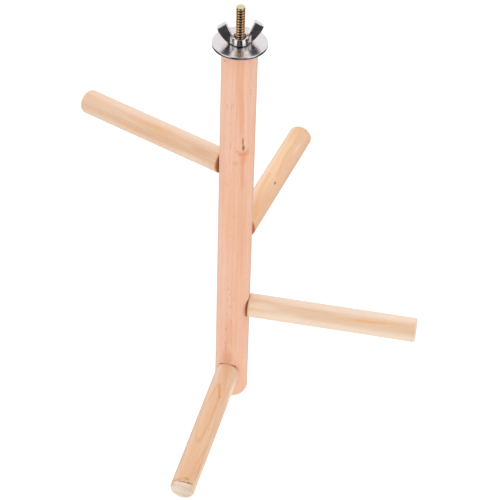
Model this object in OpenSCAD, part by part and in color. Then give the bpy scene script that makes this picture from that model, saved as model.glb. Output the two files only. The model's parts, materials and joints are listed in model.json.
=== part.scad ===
// Hanging bird perch: a round wooden post with four round perches spiralling down it.
// A bolt stands out of the post's top, and a wing nut and a wide washer clamp it to a cage.
// The origin is the centre of the post's top face, where the cage wires are clamped.
// +Z runs up along the bolt, and directions round the post count from +X towards +Y.

/* [Post] */
// Diameter of the upright post
post_d = 25; // [22:0.5:32]
// Length of the post from its clamping face to the end of its foot
post_l = 323; // [300:1:420]
// Rounding round the foot of the post
post_foot_round = 5.2; // [1:0.1:7]
// Bevel round the clamping face at the top of the post
post_top_bevel = 0.6; // [0.2:0.1:1.5]

/* [Perches] */
// Diameter of each perch
perch_d = 18; // [14:0.5:20]
// Length of each perch from its seat on the post to its tip
perch_l = 126.3; // [60:0.1:200]
// Rounding round the tip of each perch
perch_tip_round = 1.6; // [0.5:0.1:4]
// Bevel round the end of each perch that sits on the post
perch_seat_bevel = 0.8; // [0.4:0.1:1.2]
// Depth of the flat that each perch beds into the round post
seat_depth = 0.3; // [0.2:0.1:1]

/* [Perch places] */
// Height of the bottom perch above the end of the post's foot
bottom_perch_rise = 27.5; // [22:0.5:45]
// Step from the bottom perch up to the lower perch
lower_perch_step = 61.5; // [20:0.5:70]
// Step from the lower perch up to the upper perch
upper_perch_step = 65.7; // [20:0.1:70]
// Step from the upper perch up to the top perch
top_perch_step = 62.8; // [20:0.1:80]
// Direction of the bottom perch round the post, in degrees
bottom_perch_angle = -103.3; // [-150:0.1:-50]
// Direction of the lower perch round the post, in degrees
lower_perch_angle = -10.1; // [-60:0.1:40]
// Direction of the upper perch round the post, in degrees
upper_perch_angle = 70.6; // [20:0.1:120]
// Direction of the top perch round the post, in degrees
top_perch_angle = 144.4; // [90:0.1:200]
// Angle by which the upper perch hangs below level, in degrees
upper_perch_sag_angle = 2; // [0:0.1:4]
// Angle by which the top perch hangs below level, in degrees
top_perch_sag_angle = 2; // [0:0.1:4]
// Distance by which the upper perch misses the post's middle, to the right as seen from the post
upper_perch_offset = 2.2; // [-3:0.1:3]

/* [Perch screws] */
// Diameter of the screw hidden in each perch joint
screw_d = 4.8; // [3:0.1:6]
// Length of the screw that is in the post
screw_in_post = 17; // [10:0.5:18]
// Length of the screw that is in the perch
screw_in_perch = 21; // [12:0.5:40]
// Length of the point at each end of the screw
screw_point_l = 5; // [2:0.5:6]

/* [Hanger bolt] */
// Diameter of the bolt where it carries the nut
bolt_d = 6.35; // [5:0.05:8]
// Height of the bolt's end above the clamping face
bolt_rise = 30; // [24:0.5:45]
// Bevel round the bolt's end
bolt_end_bevel = 0.4; // [0.3:0.1:1.2]
// Length of plain neck sunk into the post
bolt_neck_l = 4; // [1:0.5:8]
// Diameter of the end that is screwed into the post
bolt_wood_d = 5; // [3.5:0.1:5]
// Length of the end that is screwed into the post, with its point
bolt_wood_l = 28; // [15:0.5:40]
// Length of the point
bolt_point_l = 6; // [3:0.5:10]

/* [Washer] */
// Outside diameter of the washer
washer_d = 38.1; // [28:0.1:45]
// Thickness of the washer
washer_t = 1.8; // [1:0.1:3]
// Play of the washer on the bolt, in diameter
washer_play = 0.75; // [0.3:0.05:1.5]
// Rounding of the washer's upper edge
washer_round = 0.5; // [0.2:0.1:0.8]

/* [Wing nut] */
// Diameter of the hub at its seat on the washer
hub_d = 13.2; // [13:0.1:16]
// Diameter of the hub at its top
hub_top_d = 11; // [10.6:0.1:12.8]
// Height of the hub
hub_h = 4.8; // [4:0.1:8]
// Bevel round the hub's seat
hub_seat_bevel = 0.4; // [0.1:0.1:0.8]
// Bevel round the mouth of the threaded hole
hub_mouth_bevel = 0.9; // [0.3:0.1:1.2]
// Span across the tips of the two wings
wing_span = 31; // [27:0.5:40]
// Height of the wings above the nut's seat
wing_h = 15.8; // [13:0.1:22]
// Thickness of each wing
wing_t = 3.1; // [2.4:0.1:4]
// Run of the sloping end of a wing, measured outward
wing_end_run = 3.4; // [1:0.1:4]
// Fall of the sloping end of a wing, measured downward
wing_end_fall = 2.3; // [0.5:0.1:4]
// Bow of a wing's outer edge, outside the straight line from its foot to its tip
wing_belly = 0.8; // [0:0.1:1.5]
// Rounding of a wing's corners
wing_corner_r = 1.3; // [1.1:0.1:1.8]
// Rounding along a wing's edges
wing_edge_r = 1; // [0.4:0.1:1]
// Distance that the foot of a wing stands out from the hub's seat
wing_foot_out = 2; // [1.5:0.1:4]
// Gap under the foot of a wing
wing_foot_gap = 0.2; // [0.1:0.1:1]
// Radius that blends each wing into the hub
wing_blend_r = 3; // [1.5:0.1:4]
// Turn of the tightened nut round the bolt, in degrees
nut_angle = 9; // [0:1:360]

/* [Fits] */
// Clearance round the bolt in the nut and in the post
thread_gap = 0.05; // [0.02:0.01:0.1]
// Clearance round each perch in the flat that it beds into
seat_gap = 0.1; // [0.05:0.05:0.3]
// Space left beyond the point of each screw
point_gap = 0.5; // [0.2:0.1:2]

/* [Hidden] */
$fn = 96;

// Number of sides on the small rounds that are blended together
blend_sides = 32;
// Step between the layers that round a wing's edges, in degrees
edge_step = 30;
// Number of steps along the bowed outer edge of a wing
belly_steps = 6;
// Depth by which a joined piece runs into its neighbour, and a cut runs past a face
overrun = 0.2;

post_r = post_d / 2;
perch_r = perch_d / 2;
bolt_r = bolt_d / 2;
bolt_wood_r = bolt_wood_d / 2;
screw_r = screw_d / 2;
bolt_depth = bolt_neck_l + bolt_wood_l;
seat_x = post_r - seat_depth;
hole_r = bolt_r + thread_gap;

// Distance of each perch below the clamping face, counted up from the foot
bottom_perch_drop = post_l - bottom_perch_rise;
lower_perch_drop = bottom_perch_drop - lower_perch_step;
upper_perch_drop = lower_perch_drop - upper_perch_step;
top_perch_drop = upper_perch_drop - top_perch_step;

// Drop, direction, sag and offset of each perch, from the top down
perch_places = [
    [top_perch_drop, top_perch_angle, top_perch_sag_angle, 0],
    [upper_perch_drop, upper_perch_angle, upper_perch_sag_angle, upper_perch_offset],
    [lower_perch_drop, lower_perch_angle, 0, 0],
    [bottom_perch_drop, bottom_perch_angle, 0, 0]
];

// Centres of a wing's four rounded corners, as distance from the bolt and height above the seat
wing_foot = [hub_d / 2 + wing_foot_out - wing_corner_r, wing_foot_gap + wing_corner_r];
wing_tip = [wing_span / 2 - wing_corner_r, wing_h - wing_corner_r - wing_end_fall];
wing_top = [wing_span / 2 - wing_corner_r - wing_end_run, wing_h - wing_corner_r];
wing_heel = [hub_top_d / 2 + wing_corner_r / 2, hub_h - wing_corner_r];

// Line from the foot to the tip, the direction in which the outer edge bows, and centres along that edge
wing_rise = wing_tip - wing_foot;
wing_outward = [wing_rise[1], -wing_rise[0]] / norm(wing_rise);
wing_centres = concat([for (step = [0 : belly_steps]) outer_edge(step / belly_steps)], [wing_top, wing_heel]);

// Blend between a wing and the hub, worked out as circles that touch the hub and the wing
blend_y = wing_t / 2 - overrun + wing_blend_r;
blend_x = sqrt(pow(hub_d / 2 + wing_blend_r, 2) - pow(blend_y, 2));
blend_w = hub_d * blend_y / (hub_d / 2 + wing_blend_r);

// Centre of the rounding at a share of the way up a wing's bowed outer edge
function outer_edge(share) =
    wing_foot + share * wing_rise + 4 * share * (1 - share) * wing_belly * wing_outward;

// Carries what stands along +Z to the seat of one perch, pointing outward
module at_perch(place) {
    translate([0, 0, -place[0]])
        rotate([0, 0, place[1]])
            rotate([0, 90 + place[2], 0])
                translate([0, -place[3], seat_x])
                    children();
}

// Half outline of a rod with a rounded far end and a bevelled near end, to be turned round Z
module rod_outline(r, l, far_round, near_bevel) {
    polygon([
        [0, 0],
        [r - near_bevel, 0],
        [r, near_bevel],
        [r, l - far_round],
        [r - far_round, l - far_round],
        [r - far_round, l],
        [0, l]
    ]);
    intersection() {
        translate([r - far_round, l - far_round])
            circle(r = far_round);
        translate([r - far_round, l - far_round])
            square(far_round);
    }
}

module post() {
    color([0.93, 0.74, 0.62])
        difference() {
            mirror([0, 0, 1])
                rotate_extrude()
                    rod_outline(post_r, post_l, post_foot_round, post_top_bevel);
            bolt_hole();
            for (place = perch_places)
                at_perch(place) {
                    cylinder(r = perch_r + seat_gap, h = post_r);
                    translate([0, 0, -screw_in_post - point_gap])
                        cylinder(r = screw_r + thread_gap, h = screw_in_post + point_gap + overrun);
                }
        }
}

// Stepped hole down the top of the post: a wide part for the neck, a narrow part for the thread
module bolt_hole() {
    translate([0, 0, -bolt_neck_l - thread_gap])
        cylinder(r = hole_r, h = bolt_neck_l + thread_gap + overrun);
    translate([0, 0, -bolt_depth - point_gap])
        cylinder(r = bolt_wood_r + thread_gap, h = bolt_wood_l + point_gap);
}

module hanger_bolt() {
    color([0.80, 0.68, 0.38])
        rotate_extrude()
            polygon([
                [0, -bolt_depth],
                [bolt_wood_r, -bolt_depth + bolt_point_l],
                [bolt_wood_r, -bolt_neck_l],
                [bolt_r, -bolt_neck_l],
                [bolt_r, bolt_rise - bolt_end_bevel],
                [bolt_r - bolt_end_bevel, bolt_rise],
                [0, bolt_rise]
            ]);
}

module clamp_washer() {
    hole = bolt_r + washer_play / 2;
    rim = washer_d / 2 - washer_round;
    color([0.80, 0.79, 0.80])
        rotate_extrude() {
            translate([hole, 0])
                square([rim - hole, washer_t]);
            translate([hole, 0])
                square([washer_d / 2 - hole, washer_t - washer_round]);
            intersection() {
                translate([rim, washer_t - washer_round])
                    circle(r = washer_round);
                translate([rim, washer_t - washer_round])
                    square(washer_round);
            }
        }
}

module wing_nut() {
    color([0.72, 0.72, 0.74])
        translate([0, 0, washer_t])
            rotate([0, 0, nut_angle])
                difference() {
                    union() {
                        hub();
                        for (side = [0, 180])
                            rotate([0, 0, side]) {
                                wing_blade();
                                wing_root();
                            }
                    }
                    hub_bore();
                }
}

// The coned hub that bears on the washer
module hub() {
    rotate_extrude()
        polygon([
            [0, 0],
            [hub_d / 2 - hub_seat_bevel, 0],
            [hub_d / 2, hub_seat_bevel],
            [hub_top_d / 2, hub_h],
            [0, hub_h]
        ]);
}

// The threaded hole, with a bevelled mouth, and a clear way up between the wings
module hub_bore() {
    translate([0, 0, -overrun])
        cylinder(r = hole_r, h = hub_h + 2 * overrun);
    translate([0, 0, hub_h - hub_mouth_bevel])
        cylinder(r1 = hole_r, r2 = hole_r + hub_mouth_bevel, h = hub_mouth_bevel);
    translate([0, 0, hub_h])
        cylinder(r = hole_r + hub_mouth_bevel, h = wing_h);
}

// One flat wing with rounded edges, built up from layers that shrink towards its faces
module wing_blade() {
    hull()
        for (a = [0 : edge_step : 90], centre = wing_centres)
            translate([centre[0], 0, centre[1]])
                rotate([90, 0, 0])
                    cylinder(
                        r = wing_corner_r - wing_edge_r * (1 - cos(a)),
                        h = wing_t - 2 * wing_edge_r * (1 - sin(a)),
                        center = true,
                        $fn = blend_sides
                    );
}

// The thick root that blends a wing into the hub, hollowed on both sides
module wing_root() {
    intersection() {
        linear_extrude(height = wing_h)
            difference() {
                translate([0, -blend_w / 2])
                    square([blend_x, blend_w]);
                for (side = [-1, 1])
                    translate([blend_x, side * blend_y])
                        circle(r = wing_blend_r);
            }
        rotate([90, 0, 0])
            linear_extrude(height = hub_d, center = true)
                polygon([
                    [0, wing_foot_gap],
                    [blend_x, wing_foot_gap],
                    [blend_x, hub_h + blend_x - hub_top_d / 2],
                    [hub_top_d / 2, hub_h],
                    [0, hub_h]
                ]);
    }
}

// One perch, standing on its seat, with the hole for its screw
module perch(place) {
    color([0.92, 0.78, 0.62])
        at_perch(place)
            difference() {
                rotate_extrude()
                    rod_outline(perch_r, perch_l, perch_tip_round, perch_seat_bevel);
                translate([0, 0, -overrun])
                    cylinder(r = screw_r + thread_gap, h = screw_in_perch + point_gap + overrun);
            }
}

module top_perch() {
    perch(perch_places[0]);
}

module upper_perch() {
    perch(perch_places[1]);
}

module lower_perch() {
    perch(perch_places[2]);
}

module bottom_perch() {
    perch(perch_places[3]);
}

// The screw hidden in one perch joint, pointed at both ends
module perch_screw(place) {
    color([0.62, 0.62, 0.64])
        at_perch(place)
            rotate_extrude()
                polygon([
                    [0, -screw_in_post],
                    [screw_r, -screw_in_post + screw_point_l],
                    [screw_r, screw_in_perch - screw_point_l],
                    [0, screw_in_perch]
                ]);
}

module top_perch_screw() {
    perch_screw(perch_places[0]);
}

module upper_perch_screw() {
    perch_screw(perch_places[1]);
}

module lower_perch_screw() {
    perch_screw(perch_places[2]);
}

module bottom_perch_screw() {
    perch_screw(perch_places[3]);
}

post();
hanger_bolt();
clamp_washer();
wing_nut();
top_perch();
upper_perch();
lower_perch();
bottom_perch();
top_perch_screw();
upper_perch_screw();
lower_perch_screw();
bottom_perch_screw();
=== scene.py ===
"""Looks of a hanging bird perch: sanded wood, a yellow zinc bolt, a polished washer and a wing nut.

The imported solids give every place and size, and this script dresses them. Lengths are in metres, but
in millimetres where a name ends in _mm or _MM, in the tables of marks and streaks, in the shaders,
which work on millimetres, and in the shape of the wing nut.
"""

import json
import math

import bmesh
import bpy
from bpy.props import FloatProperty, FloatVectorProperty, IntProperty, PointerProperty
from mathutils import Matrix, Vector, noise


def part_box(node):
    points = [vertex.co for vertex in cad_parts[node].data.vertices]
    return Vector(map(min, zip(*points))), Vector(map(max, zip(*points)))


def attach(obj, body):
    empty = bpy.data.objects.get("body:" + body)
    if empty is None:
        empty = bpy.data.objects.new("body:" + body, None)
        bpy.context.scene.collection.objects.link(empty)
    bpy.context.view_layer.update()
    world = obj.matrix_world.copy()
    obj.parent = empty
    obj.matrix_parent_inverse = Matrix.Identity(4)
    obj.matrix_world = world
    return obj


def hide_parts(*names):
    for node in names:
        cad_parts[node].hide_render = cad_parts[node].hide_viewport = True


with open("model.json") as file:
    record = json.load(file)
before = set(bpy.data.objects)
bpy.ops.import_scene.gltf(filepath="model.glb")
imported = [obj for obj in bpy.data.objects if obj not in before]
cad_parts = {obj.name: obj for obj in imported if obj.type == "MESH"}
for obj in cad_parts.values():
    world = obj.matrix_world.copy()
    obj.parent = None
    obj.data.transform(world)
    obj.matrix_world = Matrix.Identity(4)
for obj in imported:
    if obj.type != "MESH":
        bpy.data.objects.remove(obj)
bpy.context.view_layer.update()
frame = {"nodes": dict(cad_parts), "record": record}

bl_info = {
    "name": "Bird perch looks",
    "version": (1, 0, 0),
    "blender": (4, 5, 0),
    "location": "3D View > Sidebar > Bird perch",
    "description": "Builds the wood, the zinc bolt, the washer and the wing nut of a hanging bird perch",
    "category": "Object",
}

MM = 0.001
PERCHES = ("top_perch", "upper_perch", "lower_perch", "bottom_perch")


def screen(red, green, blue):
    """A colour as seen on a screen, each part from 0 to 255, as linear light."""
    parts = []
    for part in (red, green, blue):
        share = part / 255
        parts.append(share / 12.92 if share <= 0.04045 else ((share + 0.055) / 1.055) ** 2.4)
    return tuple(parts)


def washer_height():
    """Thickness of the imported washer."""
    low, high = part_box("clamp_washer")
    return high.z - low.z


# Sizes and colours that a user would change


class WoodLooks(bpy.types.PropertyGroup):
    """Colours and grain of the post and the perches"""

    post_light: FloatVectorProperty(
        name="Post wood",
        description="Main colour of the post",
        subtype="COLOR",
        size=3,
        default=screen(241, 193, 167),
    )
    post_deep: FloatVectorProperty(
        name="Post wood, deep",
        description="Colour of the post where the grain is deeper and redder",
        subtype="COLOR",
        size=3,
        default=screen(240, 182, 149),
    )
    perch_light: FloatVectorProperty(
        name="Perch wood",
        description="Main colour of the perches",
        subtype="COLOR",
        size=3,
        default=screen(240, 211, 186),
    )
    perch_deep: FloatVectorProperty(
        name="Perch wood, deep",
        description="Colour of the perches where the grain is deeper and more orange",
        subtype="COLOR",
        size=3,
        default=screen(236, 187, 145),
    )
    late_line: FloatVectorProperty(
        name="Growth line",
        description="Colour of the thin line at the end of each growth ring",
        subtype="COLOR",
        size=3,
        default=screen(216, 152, 100),
    )
    end_pale: FloatVectorProperty(
        name="End grain",
        description="Pale colour of a perch's sawn end",
        subtype="COLOR",
        size=3,
        default=screen(241, 228, 211),
    )
    end_deep: FloatVectorProperty(
        name="End grain, deep",
        description="Colour of the growth rings on a perch's sawn end",
        subtype="COLOR",
        size=3,
        default=screen(216, 184, 152),
    )
    pore: FloatVectorProperty(
        name="Pore",
        description="Warm brown of the short open pores",
        subtype="COLOR",
        size=3,
        default=screen(196, 132, 96),
    )
    roughness: FloatProperty(
        name="Roughness",
        description="Roughness of the sanded wood",
        default=0.62,
        min=0.2,
        max=1.0,
        subtype="FACTOR",
    )
    sheen: FloatProperty(
        name="Dusty edge",
        description="How much the fine nap of the sanded wood pales it at the edges",
        default=0.22,
        min=0.0,
        max=1.0,
        subtype="FACTOR",
    )
    # Painted shade: the dark of the gap where a perch is seated, on its cut end and on the post round it
    seat_painted_shade: FloatVectorProperty(
        name="Seat shade",
        description="Dark brown of the cut end and the post where a perch is seated",
        subtype="COLOR",
        size=3,
        default=screen(198, 132, 78),
    )
    # Painted shade: a fainter fringe of the seat shade on a perch's end, just outside the full shade
    seat_fringe_shade: FloatVectorProperty(
        name="Seat stain",
        description="Orange brown of the perch's end just outside its seat",
        subtype="COLOR",
        size=3,
        default=screen(214, 146, 96),
    )


class BoltLooks(bpy.types.PropertyGroup):
    """Thread and zinc finish of the hanger bolt"""

    pitch: FloatProperty(
        name="Thread pitch",
        description="Rise of the drawn thread in one turn. The real thread is finer",
        default=2.054 * MM,
        min=0.5 * MM,
        max=3 * MM,
        unit="LENGTH",
        precision=5,
    )
    depth: FloatProperty(
        name="Thread depth",
        description="Depth of the bolt's thread",
        default=0.74 * MM,
        min=0.2 * MM,
        max=1.0 * MM,
        unit="LENGTH",
        precision=5,
    )
    gold: FloatVectorProperty(
        name="Zinc, gold",
        description="Main colour of the yellow zinc",
        subtype="COLOR",
        size=3,
        default=screen(248, 210, 156),
    )
    rose: FloatVectorProperty(
        name="Zinc, rose",
        description="Rosy colour that the yellow zinc turns to in places",
        subtype="COLOR",
        size=3,
        default=screen(252, 186, 146),
    )
    green: FloatVectorProperty(
        name="Zinc, green",
        description="Greenish colour that the yellow zinc turns to in places",
        subtype="COLOR",
        size=3,
        default=screen(216, 214, 162),
    )
    # Painted shade in the thread's roots
    root: FloatVectorProperty(
        name="Thread root",
        description="Dark brown of the thread's roots, where dirt gathers",
        subtype="COLOR",
        size=3,
        default=screen(48, 30, 24),
    )


class NickelLooks(bpy.types.PropertyGroup):
    """Finish of the washer and the wing nut"""

    washer: FloatVectorProperty(
        name="Washer",
        description="Colour of the washer's polished nickel",
        subtype="COLOR",
        size=3,
        default=screen(229, 223, 225),
    )
    nut: FloatVectorProperty(
        name="Wing nut",
        description="Colour of the wing nut's bright nickel",
        subtype="COLOR",
        size=3,
        default=screen(226, 222, 222),
    )
    edge_softness: IntProperty(
        name="Edge softness",
        description="Passes that soften the wing nut's cast edges",
        default=4,
        min=0,
        max=30,
    )


class StageLooks(bpy.types.PropertyGroup):
    """Camera, floor and studio light"""

    camera_place: FloatVectorProperty(
        name="Camera place",
        description="Where the camera stands, measured from the centre of the post's top face",
        subtype="TRANSLATION",
        unit="LENGTH",
        size=3,
        default=(0.011366, -1.089757, 0.748344),
    )
    camera_dip: FloatProperty(
        name="Camera dip",
        description="Angle by which the camera looks below level",
        default=math.radians(40.484),
        subtype="ANGLE",
        unit="ROTATION",
    )
    camera_roll: FloatProperty(
        name="Camera roll",
        description="Angle by which the camera leans round its own line of sight",
        default=math.radians(1.890),
        subtype="ANGLE",
        unit="ROTATION",
    )
    camera_lens_mm: FloatProperty(
        name="Lens",
        description="Focal length of the lens, in millimetres, on a sensor 36 mm wide",
        default=140.594,
        min=20,
        max=400,
    )
    floor_drop: FloatProperty(
        name="Floor drop",
        description="Height of the hanging perch's foot above the floor",
        default=0.45,
        min=0.0,
        max=2.0,
        unit="LENGTH",
    )
    light: FloatProperty(
        name="Light",
        description="Strength of the even studio light",
        default=1.13,
        min=0.1,
        max=2.0,
    )
    overhead: FloatProperty(
        name="Overhead share",
        description="How much stronger the light is from straight above than from level",
        default=0.05,
        min=0.0,
        max=0.8,
        subtype="FACTOR",
    )
    behind: FloatProperty(
        name="Camera side loss",
        description="How much weaker the light is from the camera's side and above",
        default=0.2,
        min=0.0,
        max=0.8,
        subtype="FACTOR",
    )


# Mesh makers

ON_AXIS = 1e-9
WELD = 1e-7
NO_LENGTH = 1e-8


def finished(name, mesh_data, material):
    """A smooth visible object of one mesh and one material."""
    piece = bpy.data.objects.new(name, mesh_data)
    bpy.context.scene.collection.objects.link(piece)
    mesh_data.materials.append(material)
    for face in mesh_data.polygons:
        face.use_smooth = True
    return piece


def dress(piece, body, node):
    """Parents a finished piece to the empty of the body it rides on, and hides the imported part that it
    stands for.
    """
    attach(piece, body)
    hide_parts(node)


def to_mesh(name, work):
    """Closes a bmesh and turns it into mesh data with its faces outward."""
    bmesh.ops.remove_doubles(work, verts=work.verts, dist=WELD)
    bmesh.ops.dissolve_degenerate(work, edges=work.edges, dist=NO_LENGTH)
    bmesh.ops.recalc_face_normals(work, faces=work.faces)
    data = bpy.data.meshes.new(name)
    work.to_mesh(data)
    work.free()
    return data


def arc(centre, radius, start, end, steps):
    """Points of an arc in the outline plane, angles in degrees."""
    points = []
    for step in range(steps + 1):
        angle = math.radians(start + (end - start) * step / steps)
        points.append((centre[0] + radius * math.cos(angle), centre[1] + radius * math.sin(angle)))
    return points


def divided(points, step):
    """The same outline with its long stretches cut into shorter ones."""
    result = [points[0]]
    for start, end in zip(points, points[1:]):
        parts = max(1, math.ceil(math.dist(start, end) / step))
        for part in range(1, parts + 1):
            share = part / parts
            result.append((start[0] + (end[0] - start[0]) * share, start[1] + (end[1] - start[1]) * share))
    return result


def even_angles(count):
    """Angles that divide a full turn evenly."""
    return [2 * math.pi * step / count for step in range(count)]


def round_z(radius, angle, height):
    """Place at a radius, an angle and a height round Z."""
    return radius * math.cos(angle), radius * math.sin(angle), height


def add_ring(work, radius, height, sides):
    """Adds a level ring of vertices, or one vertex for all its places where it lies on the axis."""
    if radius < ON_AXIS:
        return [work.verts.new((0, 0, height))] * sides
    return [work.verts.new(round_z(radius, angle, height)) for angle in even_angles(sides)]


def add_face(work, corners):
    """Adds a face without its repeated corners, unless too few are left or the face is there already."""
    corners = list(dict.fromkeys(corners))
    if len(corners) > 2 and not work.faces.get(corners):
        work.faces.new(corners)


def join_rings(work, below, above):
    """Faces between two rings with as many places."""
    for column in range(len(below)):
        beside = (column + 1) % len(below)
        add_face(work, (below[column], below[beside], above[beside], above[column]))


def turned(name, outline, angles, relief=None, closed=False):
    """Turns an outline of (radius, height) points round Z. Relief gives how deep a place lies."""
    work = bmesh.new()
    rings = []
    for radius, height in outline:
        if radius < ON_AXIS:
            rings.append([work.verts.new((0, 0, height))] * len(angles))
            continue
        ring = []
        for angle in angles:
            depth = relief(angle, height, radius) if relief else 0
            ring.append(work.verts.new(round_z(radius - depth, angle, height)))
        rings.append(ring)
    for below, above in zip(rings, rings[1:]):
        join_rings(work, below, above)
    if closed:
        join_rings(work, rings[-1], rings[0])
    return to_mesh(name, work)


# Marks on the wood: knots, slits, streaks and nicks, and bands of painted highlight and shade


class Mark:
    """A place on a rod: angle round it in degrees, and millimetres along it, across and in length."""

    def __init__(self, angle, along, half_width, half_length, tone, strength, depth=0.0, hollow=0.0):
        self.angle = math.radians(angle)
        self.along = along
        self.half_width = half_width
        self.half_length = half_length
        self.tone = screen(*tone)
        self.strength = strength
        self.depth = depth
        self.hollow = hollow


POST_MARKS = (
    # Bands of the grain that faces the camera, and the pale stripes beside them
    Mark(-86, -22, 3.6, 30, (236, 172, 130), 0.5),
    Mark(-76, -52, 2.4, 24, (236, 168, 124), 0.55),
    Mark(-64, -60, 0.9, 90, (246, 210, 190), 0.55),
    Mark(-104.5, -22, 0.4, 18, (250, 214, 196), 0.5),
    Mark(-66, -150, 3.4, 60, (238, 178, 142), 0.45),
    Mark(-103, -255, 5.0, 20, (236, 170, 130), 0.5),
    # The post's left and right sides: painted shade, which damps their pale edges
    Mark(-12, -160, 3.0, 330, (226, 176, 148), 0.8),
    Mark(-167, -160, 2.8, 330, (226, 178, 152), 0.6),
    # Small brown spot under the washer
    Mark(-140.5, -8.7, 1.1, 0.9, (190, 120, 70), 0.8, 0.15),
    Mark(-48, -30.7, 0.8, 0.6, (206, 140, 104), 0.7),
    Mark(-49, -33.5, 1.6, 2.6, (232, 172, 140), 0.5, 0.0, 0.4),
    # Dark dashes where long pores lie open
    Mark(-126, -45, 0.3, 2.2, (214, 152, 118), 0.7),
    Mark(-110, -44.5, 0.3, 2.8, (214, 152, 118), 0.7),
    Mark(-105, -42, 0.3, 2.4, (214, 152, 118), 0.6),
    Mark(-112, -78.4, 0.28, 2.8, (212, 150, 116), 0.7),
    Mark(-109, -58.7, 0.28, 2.0, (212, 150, 116), 0.6),
    # The knot slit, narrow above and open below, with its orange stain
    Mark(-65, -84.8, 5.0, 2.6, (232, 150, 104), 0.7),
    Mark(-68, -89.5, 2.8, 6.0, (236, 154, 108), 0.65),
    Mark(-68, -102, 1.7, 17, (238, 162, 116), 0.6),
    Mark(-71, -73.8, 0.62, 4.4, (124, 88, 56), 0.9, 0.3),
    Mark(-68.5, -79.2, 1.25, 2.9, (136, 98, 62), 0.9, 0.3),
    # Ring knot
    Mark(-94, -92.2, 2.0, 2.1, (226, 156, 116), 0.6, 0.0, 0.65),
    # Cross scratch
    Mark(-125, -112.6, 2.2, 0.4, (214, 158, 126), 0.6),
    # Faint double knot above the bottom perch
    Mark(-113, -265.5, 1.3, 2.4, (206, 134, 102), 0.5, 0.0, 0.5),
    Mark(-112, -270.8, 1.5, 2.8, (208, 138, 104), 0.5, 0.0, 0.45),
    # Orange flecks between the lower perch and the bottom one
    Mark(-106, -210, 0.9, 2.2, (228, 152, 112), 0.4),
    Mark(-100, -215, 0.7, 1.8, (228, 152, 112), 0.35),
    Mark(-108, -221, 0.8, 2.8, (228, 152, 112), 0.35),
    Mark(-101, -228, 0.9, 2.0, (228, 152, 112), 0.4),
    Mark(-110, -235, 0.7, 1.8, (228, 152, 112), 0.4),
    Mark(-96, -242, 0.8, 2.4, (228, 152, 112), 0.35),
    Mark(-112, -251, 0.9, 1.6, (226, 148, 108), 0.45),
    Mark(-106, -280, 5.0, 9, (226, 160, 124), 0.65),
)

PERCH_MARKS = {
    "top_perch": (
        Mark(-72, 62, 3.0, 80, (222, 176, 134), 0.4),
        Mark(-35, 20, 0.6, 16, (222, 168, 130), 0.5),
        Mark(-48, 14, 2.6, 12, (218, 164, 130), 0.45),
        # Painted highlight along the upper side
        Mark(6, 62, 5.0, 110, (250, 230, 212), 0.45),
        # Painted light on the underside, in this mark and the next, as from the floor below
        Mark(-112, 62, 4.5, 110, (248, 226, 206), 0.4),
        Mark(-100, 22, 3.2, 16, (248, 226, 206), 0.4),
    ),
    "upper_perch": (
        Mark(-2, 66, 4.6, 56, (255, 222, 184), 0.5),
        Mark(58, 72, 5.0, 50, (240, 190, 158), 0.45),
        # Painted shade down the camera's right side, which damps its pale edge
        Mark(98, 75, 4.0, 110, (222, 178, 144), 0.75),
        Mark(-32, 55, 2.8, 80, (255, 228, 196), 0.55),
        Mark(43, 99, 1.3, 9.0, (250, 220, 190), 0.4),
        Mark(40, 50.8, 1.6, 3.2, (230, 164, 112), 0.6),
        Mark(40, 50.8, 0.8, 1.1, (120, 66, 32), 0.95, 0.15),
        Mark(32, 122.6, 0.7, 0.7, (170, 110, 74), 0.8, 0.25),
    ),
    "lower_perch": (
        Mark(30, 48, 1.6, 22, (230, 184, 150), 0.45),
        Mark(47, 11, 3.2, 14, (255, 234, 210), 0.4),
        Mark(84, 24, 5.0, 20, (250, 228, 204), 0.35),
        Mark(104, 62, 5.5, 110, (254, 234, 212), 0.65),
        # Painted highlight along the upper side
        Mark(-6, 62, 5.0, 110, (252, 234, 218), 0.55),
    ),
    "bottom_perch": (
        Mark(-32, 70.1, 0.6, 1.0, (196, 138, 108), 0.6, 0.05),
        Mark(-21, 36.5, 0.8, 1.3, (200, 116, 56), 0.8),
        Mark(21, 90.3, 0.7, 1.0, (206, 150, 124), 0.7),
        Mark(44, 123.4, 3.0, 1.3, (222, 156, 92), 0.75),
        Mark(12, 123.8, 3.0, 1.0, (220, 150, 88), 0.6),
        Mark(-18, 122.6, 3.4, 1.5, (220, 148, 84), 0.7),
        Mark(-40, 116, 3.0, 10, (222, 168, 130), 0.35),
        Mark(-30, 125.4, 1.2, 0.5, (120, 70, 34), 0.6, 0.3),
        # Painted highlight along the upper side
        Mark(40, 62, 3.6, 110, (246, 218, 198), 0.4),
        Mark(6, 54, 3.6, 34, (240, 186, 144), 0.35),
        # Painted shade down the camera's left side, which damps its pale edge
        Mark(64, 84, 3.4, 96, (222, 178, 144), 0.7),
        # Painted highlight down the camera's right side, in this mark and the next two
        Mark(-86, 22, 3.4, 16, (255, 236, 214), 0.65),
        Mark(-66, 84, 2.2, 14, (246, 222, 200), 0.4),
        Mark(-88, 112, 3.0, 18, (252, 234, 216), 0.4),
    ),
}


class Streak:
    """A thin line of grain or a crack on a rod: its places as (millimetres along, degrees round)."""

    def __init__(self, places, half_width, tone, strength, inset=0.0, core=0.1):
        self.core = core
        self.places = [(along, math.radians(angle)) for along, angle in places]
        self.half_width = half_width
        self.tone = screen(*tone)
        self.strength = strength
        self.inset = inset


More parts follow.
